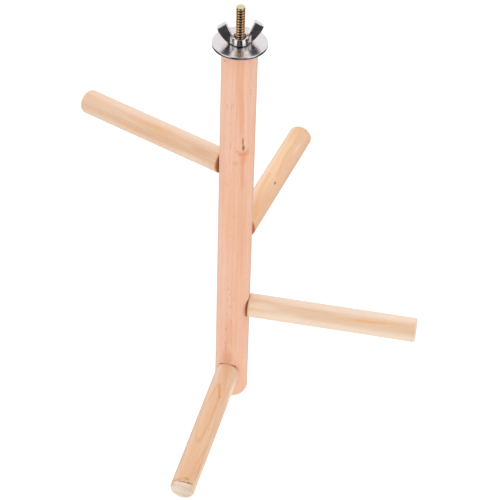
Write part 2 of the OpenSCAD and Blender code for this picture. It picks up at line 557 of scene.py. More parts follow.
STREAKS = {
    "post": (
        # Stain that cups the lower end of the knot slit
        Streak(((-81.8, -89), (-83.8, -80), (-84.2, -66), (-81, -51)), 2.0, (222, 142, 98), 0.4),
    ),
    "lower_perch": (
        Streak(((68, 50), (80, 47), (92, 42), (104, 36), (116, 31)), 1.3, (242, 186, 122), 0.45, core=0),
        Streak(((82, 46), (92, 42), (104, 37)), 1.7, (240, 178, 106), 0.5, core=0),
    ),
    "upper_perch": (
        Streak(((98, 12), (90, 13), (77, 16), (66, 26), (58, 32)), 1.8, (234, 170, 108), 0.4, core=0),
        Streak(
            ((58, -8), (48, -6), (36, 0), (28, 3), (16, 21), (6, 47)),
            2.6,
            (238, 166, 112),
            0.4,
            core=0,
        ),
    ),
    "bottom_perch": (
        # The pointed loop of one growth ring, whose camera-right side is the strongest
        Streak(
            ((23, 2), (29, -11), (36, -21), (50, -21), (65, -21), (80, -12), (85.5, -4)),
            1.6,
            (228, 160, 96),
            0.55,
            core=0,
        ),
        Streak(
            ((23, 2), (32, 18), (47, 32), (60, 35), (72, 29), (80, 18), (85, 5)),
            1.4,
            (232, 170, 112),
            0.42,
            core=0,
        ),
        Streak(((24, 2), (29, -8), (36, -20)), 1.5, (222, 146, 78), 0.4, core=0),
        Streak(((82, 2), (85.5, -2)), 1.7, (226, 156, 96), 0.25, core=0),
        # The next ring, which runs off the sides
        Streak(((10, -15), (27, -33), (47, -59), (71, -71)), 1.0, (228, 168, 118), 0.4, core=0),
        Streak(((80, -66), (94, -46), (106, -34), (120, -29)), 2.2, (228, 166, 110), 0.4, core=0),
        Streak(((97, 45), (105, 41), (118, 28)), 0.9, (226, 162, 110), 0.5, core=0),
        Streak(((103, -54), (112, -58), (119, -58)), 0.6, (196, 120, 76), 0.6),
        # Crack along the tip's upper edge
        Streak(((124.8, 54), (125.2, 34), (125.0, 16)), 0.5, (160, 104, 62), 0.75, 0.1),
        Streak(((125.8, 16), (125.8, -9), (125.4, -30)), 0.6, (110, 62, 30), 0.9, 0.6),
        Streak(((125.2, -28), (125.0, -40), (124.2, -53)), 0.6, (124, 72, 36), 0.85, 0.15),
        Streak(((123.4, -12), (123.2, -50)), 0.5, (170, 100, 50), 0.7),
    ),
}


# Extra columns and rows of the mesh on each side of a cut mark, and how many of them make its half size
MARK_COLUMNS = 6
COLUMNS_IN_HALF = 4
MARK_ROWS = 5
ROWS_IN_HALF = 3
SAME_HEIGHT = 1e-5
SAME_RADIUS = 1e-6
UNEVEN_PER_M = (60, 60, 9)
UNEVEN_SHIFT = 7.3


def mark_depth(marks, angle, height, radius):
    """Depth, in metres, that the marks cut into a rod's surface at one place."""
    depth = 0
    for mark in marks:
        if not mark.depth:
            continue
        turn = (angle - mark.angle + math.pi) % (2 * math.pi) - math.pi
        across = turn * radius / (mark.half_width * MM)
        along = (height - mark.along * MM) / (mark.half_length * MM)
        depth += mark.depth * MM * math.exp(-2 * (across * across + along * along))
    return depth


def grid_angles(marks, radius, count):
    """Even angles round a rod, with more of them where a mark is cut into it."""
    angles = set(round(angle, 5) for angle in even_angles(count))
    for mark in marks:
        if mark.depth:
            for step in range(-MARK_COLUMNS, MARK_COLUMNS + 1):
                turn = step / COLUMNS_IN_HALF * mark.half_width * MM / radius
                angles.add(round((mark.angle + turn) % (2 * math.pi), 5))
    return sorted(angles)


def grid_outline(outline, marks, radius):
    """The outline with more points where a mark is cut into the rod's side."""
    heights = []
    for mark in marks:
        if mark.depth:
            for step in range(-MARK_ROWS, MARK_ROWS + 1):
                heights.append((mark.along + step / ROWS_IN_HALF * mark.half_length) * MM)
    result = [outline[0]]
    for start, end in zip(outline, outline[1:]):
        if all(abs(point[0] - radius) < SAME_RADIUS for point in (start, end)):
            low, high = sorted((start[1], end[1]))
            between = [height for height in heights if low + SAME_HEIGHT < height < high - SAME_HEIGHT]
            between.sort(reverse=start[1] > end[1])
            result += [(radius, height) for height in between]
        result.append(end)
    return result


def unevenness(place, seed, depth):
    """Slight unevenness of sanded wood, always inward."""
    spot = [length * scale for length, scale in zip(place, UNEVEN_PER_M)]
    spot[2] += seed * UNEVEN_SHIFT
    return depth * (0.5 + 0.5 * noise.noise(spot))


# Shader helpers


class Nodes:
    """A node tree, with short names for the nodes that its maker needs."""

    def __init__(self, tree):
        self.tree = tree

    def add(self, kind, **settings):
        node = self.tree.nodes.new(kind)
        for key, value in settings.items():
            setattr(node, key, value)
        return node

    def feed(self, socket, value):
        """Joins a socket to another one, or sets its value."""
        if isinstance(value, bpy.types.NodeSocket):
            self.tree.links.new(value, socket)
        elif isinstance(value, (int, float)):
            socket.default_value = value
        else:
            value = tuple(value)
            room = len(socket.default_value)
            socket.default_value = value + (1.0,) * (room - len(value))

    def math(self, operation, *values):
        node = self.add("ShaderNodeMath", operation=operation)
        for socket, value in zip(node.inputs, values):
            self.feed(socket, value)
        return node.outputs[0]

    def times(self, first, second):
        return self.math("MULTIPLY", first, second)

    def vector(self, operation, *values):
        node = self.add("ShaderNodeVectorMath", operation=operation)
        for socket, value in zip(node.inputs, values):
            self.feed(socket, value)
        return node.outputs["Value" if operation in ("LENGTH", "DOT_PRODUCT") else "Vector"]

    def mix(self, share, first, second, blend="MIX"):
        node = self.add("ShaderNodeMix", data_type="RGBA", blend_type=blend)
        self.feed(node.inputs["Factor"], share)
        self.feed(node.inputs[6], first)
        self.feed(node.inputs[7], second)
        return node.outputs[2]

    def remap(self, value, low, high, to_low=0.0, to_high=1.0):
        """Smooth step from to_low to to_high as the value goes from low to high."""
        node = self.add("ShaderNodeMapRange", interpolation_type="SMOOTHSTEP")
        for socket, number in zip(node.inputs, (value, low, high, to_low, to_high)):
            self.feed(socket, number)
        return node.outputs[0]

    def texture(self, kind, **values):
        """A texture of one cell to each unit of the place that it is given."""
        node = self.add(kind)
        for name, value in {"Scale": 1.0, **values}.items():
            self.feed(node.inputs[name], value)
        return node

    def noise(self, place, scale, detail=2.0, roughness=0.5):
        """Noise at a scale, which is one number or another one for each axis."""
        if not isinstance(scale, float):
            place, scale = self.vector("MULTIPLY", place, scale), 1.0
        values = {"Vector": place, "Scale": scale, "Detail": detail, "Roughness": roughness}
        return self.texture("ShaderNodeTexNoise", **values)

    def split(self, vector):
        """The three parts of a place or a direction."""
        node = self.add("ShaderNodeSeparateXYZ")
        self.feed(node.inputs[0], vector)
        return node.outputs

    def channels(self, colour):
        """The three parts of a colour."""
        node = self.add("ShaderNodeSeparateColor")
        self.feed(node.inputs[0], colour)
        return node.outputs

    def seen_plainly(self):
        """1 for what the camera, a reflection or glass sees, and 0 for the light on the object."""
        path = self.add("ShaderNodeLightPath")
        seen = self.math("MAXIMUM", path.outputs["Is Camera Ray"], path.outputs["Is Glossy Ray"])
        return self.math("MAXIMUM", seen, path.outputs["Is Transmission Ray"])


class Finish(Nodes):
    """A material whose Principled shader is fed by the nodes that the methods add."""

    def __init__(self, name):
        self.material = bpy.data.materials.new(name)
        self.material.use_nodes = True
        super().__init__(self.material.node_tree)
        self.shader = self.tree.nodes["Principled BSDF"]

    def give(self, **values):
        """Feeds the shader's sockets, whose names have _ for a space here."""
        for name, value in values.items():
            self.feed(self.shader.inputs[name.replace("_", " ")], value)

    def millimetres(self):
        """Place on the object in its own axes, in millimetres."""
        coordinates = self.add("ShaderNodeTexCoord").outputs["Object"]
        return self.vector("MULTIPLY", coordinates, (1000, 1000, 1000))

    def off_axis(self, place):
        """Distance from the object's own Z."""
        return self.vector("LENGTH", self.vector("MULTIPLY", place, (1, 1, 0)))

    def bump(self, height, distance_mm):
        node = self.add("ShaderNodeBump")
        self.feed(node.inputs["Strength"], 1.0)
        self.feed(node.inputs["Distance"], distance_mm * MM)
        self.feed(node.inputs["Height"], height)
        self.give(Normal=node.outputs[0])


# Wood


class Grain:
    """How one rod was cut from the board: the direction, bow and width of its rings, and its colours."""

    def __init__(
        self, facing, bow_at, bow, ring_width, lines, blush, pores, seed, tone, first_ring=0.0, sawn=0
    ):
        self.facing = math.radians(facing)
        self.bow_at = bow_at
        self.bow = bow
        self.ring_width = ring_width
        self.lines = lines
        self.blush = blush
        self.pores = pores
        self.seed = seed
        self.tone = tone
        self.first_ring = first_ring
        self.sawn = math.radians(sawn)


GRAINS = {
    "post": Grain(20, -140, 0.00004, 3.1, 0.2, (0.05, 0.8), 0.38, 1.0, 1.10),
    "top_perch": Grain(-5, 70, 0.00008, 2.1, 0.16, (0.25, 0.85), 0.22, 4.0, 0.97),
    "upper_perch": Grain(-20, 60, 0.00012, 2.6, 0.16, (0.5, 1.0), 0.2, 9.0, 1.0),
    "lower_perch": Grain(38, 90, 0.00006, 1.9, 0.12, (0.05, 0.55), 0.22, 14.0, 0.99, first_ring=0.03),
    "bottom_perch": Grain(-80, 54, 0.0003, 2.0, 0.22, (0.3, 0.85), 0.22, 19.0, 0.97, sawn=-15),
}

# Scales of the wood's noises, per millimetre across, across and along the rod
SEED_SHIFT = (31.0, 17.0, 53.0)
WANDER_SCALE = (0.05, 0.05, 0.016)
WANDER_MM = 2.6
JITTER_SCALE = (0.5, 0.5, 0.02)
JITTER_MM = 0.5
BROAD_SCALE = (0.09, 0.09, 0.012)
STREAK_SCALE = (0.42, 0.42, 0.016)
FIBRE_SCALE = (1.9, 1.9, 0.035)
PORE_SCALE = (1.7, 1.7, 0.16)
SAWN_SCALE = (0.5, 0.05)

# Where the dark line of a growth ring starts and peaks, as shares of the ring, and how it varies
LATE_START = 0.35
LATE_PEAK = 0.93
LATE_POWER = 2.2
LATE_SPREAD = 0.9
LATE_LEAST = 0.25

# Powers of red, green and blue, which make darker fibres redder too
SHADE_POWERS = (0.75, 1.0, 1.25)
# A mark longer than this bends with the grain
BENDING_MARK_MM = 6
# Share of a mark's half size at which it starts to fade, and at which it ends
MARK_FADE = (0.35, 1.25)
# Soft edge of a seat's painted shade, and the share of its reach at which it is at full strength
SEAT_FADE_MM = 0.35
SEAT_FULL_SHARE = 0.4
ROUGHNESS_SPREAD = 0.16
WOOD_BUMP_MM = 0.05
WOOD_SPECULAR = 0.35
NAP_ROUGHNESS = 0.45
# How deep a pore and a growth line lie, beside the height of the fibres
PORE_DIP = 0.8
LATE_DIP = 0.25

# Where each noise starts and stops to count. Four numbers also say what it gives there
PORE_SIZE = (0.1, 0.36, 1.0, 0.0)
PORE_CHANCE = (0.45, 0.95)
BLUSH_RANGE = (0.33, 0.67)
STREAK_IN_BLUSH = 0.7
FIBRE_SHADE = (0.28, 0.72, 0.93, 1.04)
STREAK_SHADE = (0.3, 0.7, 0.97, 1.02)
STREAK_BREAKS = (0.2, 0.5, 0.65, 1.0)
HOLLOW_FADE = (0.2, 0.8)
SAWN_STRIPES = (0.4, 0.62)
SAWN_FROM_MM = 0.5
SAWN_FULL_MM = 0.15
SAWN_PALE = 0.8
SAWN_DEEP = 0.75
# A streak follows this share of the grain's own wandering
STREAK_WANDER = (0.3, 0.3, 0)


class Wood(Finish):
    """Solid sanded wood of one rod. Its methods paint one layer after another over the colour."""

    def __init__(self, name, grain, radius_mm):
        super().__init__(name)
        self.grain = grain
        self.radius_mm = radius_mm
        self.place = self.millimetres()
        self.shifted = self.vector("ADD", self.place, [grain.seed * shift for shift in SEED_SHIFT])
        self.along = self.split(self.place)[2]
        # The grain wanders slowly along the rod
        wander = self.noise(self.shifted, WANDER_SCALE).outputs["Color"]
        wander = self.vector("SUBTRACT", wander, (0.5, 0.5, 0.5))
        self.wander = self.vector("MULTIPLY", wander, (WANDER_MM, WANDER_MM, 0))
        self.bent = self.vector("ADD", self.place, self.wander)
        self.streaks = self.noise(self.shifted, STREAK_SCALE, 3.0).outputs[0]
        self.fibres = self.noise(self.shifted, FIBRE_SCALE, 5.0, 0.65).outputs[0]

    def late_lines(self):
        """Strength of the dark line at the end of each growth ring, which bows away along the rod."""
        grain = self.grain
        outward = (math.cos(grain.facing), math.sin(grain.facing), 0)
        along = self.math("SUBTRACT", self.along, grain.bow_at)
        bow = self.times(self.times(along, along), grain.bow)
        below = self.math("ADD", bow, self.radius_mm - grain.first_ring)
        below = self.math("SUBTRACT", below, self.vector("DOT_PRODUCT", self.bent, outward))
        jitter = self.noise(self.shifted, JITTER_SCALE).outputs[0]
        below = self.math("ADD", below, self.times(jitter, JITTER_MM))
        rings = self.math("DIVIDE", below, grain.ring_width)
        ring = self.math("FRACT", rings)
        rise = self.math("POWER", self.remap(ring, LATE_START, LATE_PEAK), LATE_POWER)
        late = self.times(rise, self.remap(ring, LATE_PEAK, 1.0, 1.0, 0.0))
        tint = self.add("ShaderNodeTexWhiteNoise", noise_dimensions="1D")
        self.feed(tint.inputs["W"], self.math("ADD", self.math("FLOOR", rings), grain.seed))
        return self.times(late, self.math("MULTIPLY_ADD", tint.outputs["Value"], LATE_SPREAD, LATE_LEAST))

    def open_pores(self):
        """Strength of the short dark pores."""
        place = self.vector("MULTIPLY", self.shifted, PORE_SCALE)
        pores = self.texture("ShaderNodeTexVoronoi", Vector=place)
        near = self.remap(pores.outputs["Distance"], *PORE_SIZE)
        return self.times(near, self.remap(self.channels(pores.outputs["Color"])[0], *PORE_CHANCE))

    def grown(self, light, deep, looks, late, pores):
        """Colour of the wood itself: broad blush, growth lines, fine fibres and pores."""
        broad = self.noise(self.shifted, BROAD_SCALE, 3.0).outputs[0]
        blush = self.math("SUBTRACT", broad, STREAK_IN_BLUSH / 2)
        blush = self.math("MULTIPLY_ADD", self.streaks, STREAK_IN_BLUSH, blush)
        colour = self.mix(self.remap(blush, *BLUSH_RANGE, *self.grain.blush), light, deep)
        colour = self.mix(self.times(late, self.grain.lines), colour, looks.late_line)
        shade = self.remap(self.fibres, *FIBRE_SHADE)
        shade = self.times(shade, self.remap(self.streaks, *STREAK_SHADE))
        shade = self.times(shade, self.grain.tone)
        shades = self.add("ShaderNodeCombineColor")
        for socket, power in zip(shades.inputs, SHADE_POWERS):
            self.feed(socket, self.math("POWER", shade, power))
        colour = self.mix(1.0, colour, shades.outputs[0], "MULTIPLY")
        return self.mix(self.times(pores, self.grain.pores), colour, looks.pore)

    def sawn_end(self, colour, looks, end_mm):
        """Paler wood on the sawn end, with its rings as stripes."""
        sawn = self.remap(self.along, end_mm - SAWN_FROM_MM, end_mm - SAWN_FULL_MM)
        turn = Matrix.Rotation(-self.grain.sawn, 3, "Z")
        spread = self.add("ShaderNodeCombineXYZ")
        for socket, direction, scale in zip(spread.inputs, turn, SAWN_SCALE):
            self.feed(socket, self.times(self.vector("DOT_PRODUCT", self.bent, direction), scale))
        self.feed(spread.inputs[2], self.grain.seed)
        stripes = self.remap(self.noise(spread.outputs[0], 1.0).outputs[0], *SAWN_STRIPES)
        colour = self.mix(self.times(sawn, SAWN_PALE), colour, looks.end_pale)
        return self.mix(self.times(self.times(stripes, sawn), SAWN_DEEP), colour, looks.end_deep)

    def marked(self, colour, mark):
        """A knot, slit, fleck or band in its own place."""
        away = self.bent if mark.half_length > BENDING_MARK_MM else self.place
        away = self.vector("SUBTRACT", away, round_z(self.radius_mm, mark.angle, mark.along))
        away = self.vector("DIVIDE", away, (mark.half_width, mark.half_width, mark.half_length))
        away = self.vector("LENGTH", away)
        share = self.remap(away, *MARK_FADE, mark.strength, 0.0)
        if mark.hollow:
            share = self.times(share, self.remap(away, *HOLLOW_FADE, 1.0 - mark.hollow, 1.0))
        return self.mix(share, colour, mark.tone)

    def streaked(self, colour, streak, waved, broken):
        """A streak, as the distance to the nearest stretch between two of its places."""
        radius = self.radius_mm - streak.inset
        ends = [Vector(round_z(radius, turn, along)) for along, turn in streak.places]
        away = None
        for start, end in zip(ends, ends[1:]):
            stretch = end - start
            offset = self.vector("SUBTRACT", waved, start)
            share = self.vector("DOT_PRODUCT", offset, stretch / stretch.length_squared)
            share = self.math("MINIMUM", self.math("MAXIMUM", share, 0.0), 1.0)
            offset = self.vector("SUBTRACT", offset, self.vector("MULTIPLY", stretch, share))
            distance = self.vector("LENGTH", offset)
            away = distance if away is None else self.math("MINIMUM", away, distance)
        core = streak.half_width * streak.core
        share = self.remap(away, core, streak.half_width, streak.strength, 0.0)
        return self.mix(self.times(share, broken), colour, streak.tone)

    def seated(self, colour, centre, axis, reach_mm, seat_mm, strength, tone):
        """Painted shade on the cut face of a seat, or on the post round one, out to a radius and a reach.
        """
        away = self.vector("SUBTRACT", self.place, centre)
        deep_in = self.math("ABSOLUTE", self.vector("DOT_PRODUCT", away, axis))
        off_axis = self.vector("LENGTH", self.vector("CROSS_PRODUCT", away, axis))
        share = self.remap(off_axis, seat_mm - SEAT_FADE_MM, seat_mm, 1.0, 0.0)
        full_mm = reach_mm * SEAT_FULL_SHARE
        share = self.times(share, self.remap(deep_in, full_mm, reach_mm, strength, 0.0))
        return self.mix(share, colour, tone)


def wood(name, colours, looks, node, marks, radius_mm, seats, end_mm=None):
    """Solid sanded wood of one rod, with its rings, fibres, pores, own marks, which include bands of
    painted highlight and shade, and painted shade at its seats.
    """
    rod = Wood(name, GRAINS[node], radius_mm)
    late = rod.late_lines()
    pores = rod.open_pores()
    colour = rod.grown(*colours, looks, late, pores)
    if end_mm:
        colour = rod.sawn_end(colour, looks, end_mm)
    for mark in marks:
        colour = rod.marked(colour, mark)
    waved = rod.vector("ADD", rod.place, rod.vector("MULTIPLY", rod.wander, STREAK_WANDER))
    broken = rod.remap(rod.fibres, *STREAK_BREAKS)
    for streak in STREAKS.get(node, ()):
        colour = rod.streaked(colour, streak, waved, broken)
    # Painted shade where a perch is seated
    for seat in seats:
        colour = rod.seated(colour, *seat)
    rough = rod.math("MULTIPLY_ADD", rod.fibres, ROUGHNESS_SPREAD, looks.roughness - ROUGHNESS_SPREAD / 2)
    rod.give(Base_Color=colour, Roughness=rough)
    rod.give(Specular_IOR_Level=WOOD_SPECULAR, Sheen_Weight=looks.sheen, Sheen_Roughness=NAP_ROUGHNESS)
    height = rod.math("SUBTRACT", rod.fibres, rod.times(pores, PORE_DIP))
    rod.bump(rod.math("SUBTRACT", height, rod.times(late, LATE_DIP)), WOOD_BUMP_MM)
    return rod.material


def rod_frame(node):
    """A perch's matrix, with Z along the rod and X upward, its radius and its length."""
    mount = next(row for row in frame["record"]["mounts"] if row["name"] == node + "_rod")
    axis = Vector(mount["axis"]).normalized()
    middle = Vector(mount["pos_m"])
    reaches = [(vertex.co - middle).dot(axis) for vertex in frame["nodes"][node].data.vertices]
    seat = middle + axis * min(reaches)
    up = (Vector((0, 0, 1)) - axis * axis.z).normalized()
    side = axis.cross(up)
    turn = Matrix((up, side, axis)).transposed().to_4x4()
    return Matrix.Translation(seat) @ turn, mount["dims"]["r_mm"] * MM, max(reaches) - min(reaches)


PERCH_TIP_ROUND_MM = {"top_perch": 2.2, "upper_perch": 2.0, "lower_perch": 0.9, "bottom_perch": 1.6}
SEAT_EDGE_MM = {"top_perch": 0.8, "upper_perch": 0.8, "lower_perch": 0.5, "bottom_perch": 0.3}
POST_FOOT_ROUND_MM = 5.2
POST_TOP_EDGE_MM = 0.6
POST_SIDES = 144
PERCH_SIDES = 112
BOLT_HOLE_GAP_MM = 0.05
PERCH_HOLE_MM = 2.45
PERCH_HOLE_DEPTH_MM = 21.5
# Painted shade on the post round each seat: how far it reaches along the perch, and how far past its side
SEAT_SHADE_REACH_MM = 2.2
SEAT_SHADE_OUT_MM = 0.3
SEAT_FLAT_PLAY_MM = 0.1
# Reach of the full painted shade on a perch's cut end
SEAT_RIM_MM = 0.3
# Reach and strength of the fainter painted shade on a perch's end just outside its seat
SEAT_FRINGE_SHADE_MM = 1.5
SEAT_FRINGE_SHADE_STRENGTH = 0.6
UNEVEN_MM = 0.05
SIDE_STEP_MM = 1.5
FACE_STEP_MM = 2
# A point nearer to the rod's middle than this share of its radius isn't on its side
POST_SIDE_SHARE = 0.85
PERCH_SIDE_SHARE = 0.7


class PERCH_OT_post(bpy.types.Operator):
    """Build the post, with its rounded foot, its bolt hole and the flats that the perches bed into"""

    bl_idname = "perch.post"
    bl_label = "Post"

    def execute(self, context):
        looks = context.scene.wood_looks
        low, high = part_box("post")
        radius = (high.x - low.x) / 2
        bottom = low.z
        bolt_low, bolt_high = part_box("hanger_bolt")
        hole = (bolt_high.x - bolt_low.x) / 2 + BOLT_HOLE_GAP_MM * MM
        foot = POST_FOOT_ROUND_MM * MM
        edge = POST_TOP_EDGE_MM * MM
        side_step = SIDE_STEP_MM * MM
        face_step = FACE_STEP_MM * MM
        outline = [(0, bolt_low.z - edge), (hole, bolt_low.z - edge), (hole, 0)]
        outline += divided([(hole, 0), (radius - edge, 0)], face_step)[1:]
        outline += arc((radius - edge, -edge), edge, 90, 0, 5)[1:]
        outline += divided([(radius, -edge), (radius, bottom + foot)], side_step)[1:]
        outline += arc((radius - foot, bottom + foot), foot, 0, -90, 14)[1:]
        outline += divided([(radius - foot, bottom), (0, bottom)], face_step)[1:]
        seats = [rod_frame(node) for node in PERCHES]

        def relief(angle, height, away):
            if away < radius * POST_SIDE_SHARE:
                return 0
            place = Vector(round_z(away, angle, height))
            depth = unevenness(place, 1, UNEVEN_MM * MM) + mark_depth(POST_MARKS, angle, height, radius)
            for matrix, perch_radius, _ in seats:
                local = matrix.inverted() @ place
                if local.z > 0 and math.hypot(local.x, local.y) < perch_radius + SEAT_FLAT_PLAY_MM * MM:
                    depth = max(depth, local.z)
            return depth

        angles = grid_angles(POST_MARKS, radius, POST_SIDES)
        data = turned("post_wood", grid_outline(outline, POST_MARKS, radius), angles, relief)
        # Painted shade on the post round each perch's seat
        shaded = []
        for matrix, perch_radius, _ in seats:
            out_to = perch_radius / MM + SEAT_SHADE_OUT_MM
            centre = matrix.translation / MM
            shaded.append((centre, matrix.col[2].xyz, SEAT_SHADE_REACH_MM, out_to, 1.0, looks.seat_painted_shade))
        colours = (looks.post_light, looks.post_deep)
        material = wood("Post wood", colours, looks, "post", POST_MARKS, radius / MM, shaded)
        dress(finished("post_wood", data, material), "stand", "post")
        return {"FINISHED"}


class PERCH_OT_perches(bpy.types.Operator):
    """Build the four perches, each with its own grain, tip and marks"""

    bl_idname = "perch.perches"
    bl_label = "Perches"

    def execute(self, context):
        looks = context.scene.wood_looks
        for number, node in enumerate(PERCHES):
            matrix, radius, length = rod_frame(node)
            marks = PERCH_MARKS[node]
            tip = PERCH_TIP_ROUND_MM[node] * MM
            edge = SEAT_EDGE_MM[node] * MM
            hole = PERCH_HOLE_MM * MM
            hole_end = PERCH_HOLE_DEPTH_MM * MM
            side_step = SIDE_STEP_MM * MM
            outline = [(0, hole_end), (hole, hole_end), (hole, 0)]
            outline += divided([(hole, 0), (radius - edge, 0)], FACE_STEP_MM * MM)[1:]
            outline += arc((radius - edge, edge), edge, -90, 0, 5)[1:]
            outline += divided([(radius, edge), (radius, length - tip)], side_step)[1:]
            outline += arc((radius - tip, length - tip), tip, 0, 90, 8)[1:]
            outline += divided([(radius - tip, length), (0, length)], side_step)[1:]

            def relief(angle, height, away):
                if away < radius * PERCH_SIDE_SHARE:
                    return 0
                depth = unevenness(round_z(away, angle, height), number + 2, UNEVEN_MM * MM)
                return depth + mark_depth(marks, angle, height, radius)

            angles = grid_angles(marks, radius, PERCH_SIDES)
            data = turned(node + "_wood", grid_outline(outline, marks, radius), angles, relief)
            out_to = radius / MM + 1
            material = wood(
                node.replace("_", " ").capitalize() + " wood",
                (looks.perch_light, looks.perch_deep),
                looks,
                node,
                marks,
                radius / MM,
                # Painted shade on the perch's seated end: a fainter fringe a little way along it, full
                # shade on the cut end
                [
                    ((0, 0, 0), (0, 0, 1), SEAT_FRINGE_SHADE_MM, out_to, SEAT_FRINGE_SHADE_STRENGTH, looks.seat_fringe_shade),
                    ((0, 0, 0), (0, 0, 1), SEAT_RIM_MM, out_to, 1.0, looks.seat_painted_shade),
                ],
                length / MM,
            )
            piece = finished(node + "_wood", data, material)
            piece.matrix_world = matrix
            dress(piece, "stand", node)
        return {"FINISHED"}


# Threads

# Heights of the points of one turn of thread, as shares of its depth
MACHINE_THREAD = (0.0, 0.25, 0.75, 1.0, 1.0, 1.0, 0.75, 0.25)
WOOD_THREAD = (0.0, 0.0, 0.0, 0.0, 0.25, 0.95, 1.0, 0.35)
WOOD_THREAD_PITCH_MM = 2.3
WOOD_THREAD_DEPTH_MM = 0.55
POINT_RADIUS_MM = 0.05
BOLT_SIDES = 72
SCREW_SIDES = 40
BOLT_END_EDGE_MM = 0.3
BOLT_END_DISH_MM = 0.03
BOLT_NECK_MM = 4
BOLT_NECK_CUT_MM = 0.15
BOLT_THREAD_START_MM = -2.76
BOLT_WOOD_RADIUS_MM = 2.5
BOLT_WOOD_POINT_MM = 6
SCREW_POINT_MM = 5
# Plain stretches at the ends of the threads
BOLT_TIP_MM = 0.6
BOLT_NECK_RISE_MM = 0.5
BOLT_THREAD_RISE_MM = 0.3
SCREW_TIP_MM = 0.5
# The bolt's end: how much its rim is set in, and the slight dish between two shares of its radius
BOLT_END_RIM_MM = 0.05
BOLT_DISH_EDGE = 0.8
BOLT_DISH_FLOOR = 0.4

ZINC_PATCH_SCALE = (0.28, 0.28, 0.10)
ZINC_SPECK_SCALE = 2.4
ZINC_GRAIN_SCALE = 5.0
ZINC_GRAIN_MM = 0.02
ZINC_SPECK = screen(150, 120, 70)
# Rose grows from the camera's left to its right by this much in a millimetre
ZINC_ROSE_SLOPE = 0.15
ZINC_ROSE_RANGE = (0.45, 0.85)
ZINC_GREEN_RANGE = (0.53, 0.72)
ZINC_SPECK_RANGE = (0.55, 0.75, 0.0, 0.35)
ZINC_ROUGHNESS = (0.3, 0.7, 0.16, 0.30)
# Painted shade fills the roots below the first share of the thread's depth and ends at the second
ROOT_SHADE_SHARES = (0.65, 0.14)
# Millimetres below the bolt's end where the painted root shade fades, and where the end face's own colours
# begin
ROOT_SHADE_FADE_MM = (0.6, 0.3)
END_FADE_MM = (0.2, 0.05)
END_STRENGTH = 0.9
END_ROSE = screen(238, 196, 156)
END_GOLD = screen(212, 212, 158)
END_RIM = screen(170, 182, 168)
END_ROSE_MM = (-2.3, -0.7)
END_RIM_MM = (2.35, 2.95)
END_RIM_STRENGTH = 0.85

STEEL_LINE_SCALE = (6, 6, 0.3)
STEEL_DARK = screen(176, 176, 180)
STEEL_PALE = screen(206, 206, 208)
STEEL_ROUGHNESS = (0.3, 0.7, 0.25, 0.4)
STEEL_LINE_MM = 0.01


def thread_rows(low, high, pitch, depth_at, heights, radius_at, sides):
    """Vertex places of a threaded stretch: rows that climb with the thread, cut level at both ends."""
    per_turn = len(heights)
    count = math.ceil((high - low) / pitch * per_turn) + per_turn + 2
    rows = []
    for row in range(count):
        places = []
        for column, angle in enumerate(even_angles(sides)):
            climb = low + pitch * (row / per_turn + column / sides - 1)
            z = min(max(climb, low), high)
            radius = radius_at(z) - depth_at(z) * (1 - heights[row % per_turn])
            if climb <= low or climb >= high:
                radius = radius_at(z) - depth_at(z)
            places.append(round_z(radius, angle, z))
        rows.append(places)
    return rows


def add_thread(work, low, high, pitch, depth_at, heights, radius_at, sides):
    """Adds one threaded stretch to a bmesh and returns its first and last ring."""
    rows = []
    for places in thread_rows(low, high, pitch, depth_at, heights, radius_at, sides):
        rows.append([work.verts.new(place) for place in places])
    per_turn = len(heights)
    last = len(rows) - 1

    def corner(row, column):
        return rows[min(max(row, 0), last)][column]

    for row in range(-per_turn, last):
        for column in range(sides):
            # The last column joins the first one a turn higher
            beside, row_beside = (column + 1, row) if column + 1 < sides else (0, row + per_turn)
            near = (corner(row, column), corner(row_beside, beside))
            far = (corner(row_beside + 1, beside), corner(row + 1, column))
            add_face(work, near + far)
    return rows[0], rows[last]


def add_cap(work, ring, points):
    """Closes a ring with further rings of (radius, height) points, the last of them on the axis."""
    for radius, height in points:
        following = add_ring(work, radius, height, len(ring))
        join_rings(work, ring, following)
        ring = following


def zinc(name, looks, radius_mm, end_mm):
    """Yellow zinc: gold that turns rosy and green in soft patches, with painted shade in the thread's
    roots.
    """
    finish = Finish(name)
    place = finish.millimetres()
    across, _, height = finish.split(place)
    patches = finish.channels(finish.noise(place, ZINC_PATCH_SCALE, 3.0).outputs["Color"])
    rosy = finish.math("ADD", finish.times(across, ZINC_ROSE_SLOPE), patches[0])
    colour = finish.mix(finish.remap(rosy, *ZINC_ROSE_RANGE), looks.gold, looks.rose)
    colour = finish.mix(finish.remap(patches[1], *ZINC_GREEN_RANGE), colour, looks.green)
    specks = finish.noise(place, ZINC_SPECK_SCALE, 3.0).outputs[0]
    colour = finish.mix(finish.remap(specks, *ZINC_SPECK_RANGE), colour, ZINC_SPECK)
    off_axis = finish.off_axis(place)
    # Painted shade in the thread's roots, fading out below the bolt's end
    root_shade_radii = [radius_mm - looks.depth / MM * share for share in ROOT_SHADE_SHARES]
    root = finish.remap(off_axis, *root_shade_radii, 1.0, 0.0)
    threaded = finish.remap(height, *[end_mm - below for below in ROOT_SHADE_FADE_MM], 1.0, 0.0)
    colour = finish.mix(finish.times(root, threaded), colour, looks.root)
    # The end face is rosy on one side and greyer at its rim
    on_end = finish.remap(height, *[end_mm - below for below in END_FADE_MM], 0.0, END_STRENGTH)
    end_tone = finish.mix(finish.remap(across, *END_ROSE_MM, 1.0, 0.0), END_GOLD, END_ROSE)
    at_rim = finish.remap(off_axis, *END_RIM_MM, 0.0, END_RIM_STRENGTH)
    colour = finish.mix(on_end, colour, finish.mix(at_rim, end_tone, END_RIM))
    finish.give(Base_Color=colour, Metallic=1.0, Roughness=finish.remap(specks, *ZINC_ROUGHNESS))
    finish.bump(finish.noise(place, ZINC_GRAIN_SCALE, 3.0).outputs[0], ZINC_GRAIN_MM)
    return finish.material


